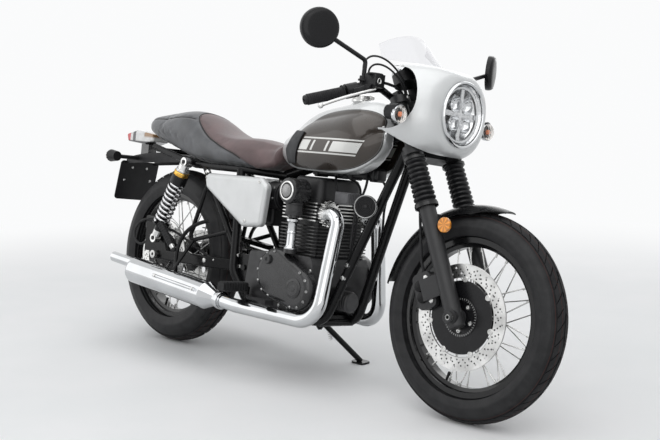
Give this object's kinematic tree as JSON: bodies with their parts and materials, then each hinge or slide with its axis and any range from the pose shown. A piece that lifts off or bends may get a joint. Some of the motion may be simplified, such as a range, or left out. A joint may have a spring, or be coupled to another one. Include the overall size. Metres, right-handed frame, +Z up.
{
  "type": "cafe racer motorcycle",
  "caption": "Retro cafe racer motorcycle with finned upright twin, spoked wheels, round-headlamp cowl, clip-style bar and humped seat, parked leaning on its side stand.",
  "frame": {"origin": "centre of the bounding box's bottom face, on the floor under the parked bike", "axes": "+X forward along the bike, +Y to the rider's left, +Z up from the floor; the bike leans to +Y on its side stand"},
  "size_m": [2.1777, 0.957, 1.2398],
  "materials": {
    "black_paint": "satin black",
    "engine_black": "matt black",
    "rim_black": "gloss black",
    "silver_paint": "metallic silver",
    "tank_paint": "metallic dark brown",
    "chrome": "polished",
    "polished_alloy": "polished",
    "steel": "ground",
    "chain_steel": "oiled",
    "rubber": "matt",
    "tyre": "matt",
    "seat_leather": "stitched",
    "black_plastic": "matt",
    "lamp_red": "clear red",
    "reflector_amber": "clear amber",
    "lamp_glass": "clear",
    "clear_screen": "clear"
  },
  "bodies": {
    "chassis": {"frame": "black_paint", "crankcase": "engine_black", "engine_covers": "engine_black", "cylinders": "engine_black", "cylinder_head": "engine_black", "bevel_drive": "chrome", "intake": "black_plastic", "exhaust_pipes": "chrome", "exhaust_collars": "polished_alloy", "mufflers": "chrome", "fuel_tank": "tank_paint", "knee_pads": "rubber", "seat": "seat_leather", "side_covers": "silver_paint", "swingarm": "black_paint", "rear_axle": "steel", "shocks": "black_paint", "shock_springs": "chrome", "chain": "chain_steel", "rear_mudguard": "black_paint", "tail_light": "lamp_red", "plate_bracket": "black_paint", "rear_signals": "black_plastic", "footpegs": "rubber", "oil_filter": "black_paint", "rear_caliper": "black_paint", "horn": "black_plastic", "chain_guard": "black_paint"},
    "rear_wheel": {"rear_tyre": "tyre", "rear_rim": "rim_black", "rear_hub": "steel", "rear_disc": "steel", "rear_sprocket": "steel"},
    "steering": {"fork_clamps": "black_paint", "fork_legs": "black_paint", "fork_gaiters": "rubber", "front_axle": "steel", "brake_hose": "rubber", "front_mudguard": "black_paint", "front_caliper": "black_paint", "reflectors": "reflector_amber", "handlebar": "black_paint", "grips": "rubber", "bar_controls": "black_plastic", "mirrors": "black_plastic", "cowl": "silver_paint", "windscreen": "clear_screen", "headlight": "lamp_glass", "instruments": "black_plastic", "front_signals": "black_plastic"},
    "front_wheel": {"front_tyre": "tyre", "front_rim": "rim_black", "front_hub": "steel", "front_disc": "steel"},
    "side_stand": {"side_stand": "black_paint"}
  },
  "joints": [
    {"name": "steering_turn", "type": "hinge", "parent": "chassis", "child": "steering", "pos_m": [0.44963, -0.04303, 0.84241], "axis": [-0.438, 0.1328, 0.8891], "range_deg": [-39, 33]},
    {"name": "front_wheel_spin", "type": "hinge", "parent": "steering", "child": "front_wheel", "pos_m": [0.77067, -0.11897, 0.31458], "axis": [-0.0471, 0.9843, -0.1703], "continuous": true},
    {"name": "rear_wheel_spin", "type": "hinge", "parent": "chassis", "child": "rear_wheel", "pos_m": [-0.69426, -0.11975, 0.32953], "axis": [-0.0001, 0.989, -0.1478], "continuous": true},
    {"name": "side_stand_fold", "type": "hinge", "parent": "chassis", "child": "side_stand", "pos_m": [0.01167, -0.02717, 0.15714], "axis": [0.0405, 0.7544, 0.6551], "range_deg": [0, 88]}
  ]
}
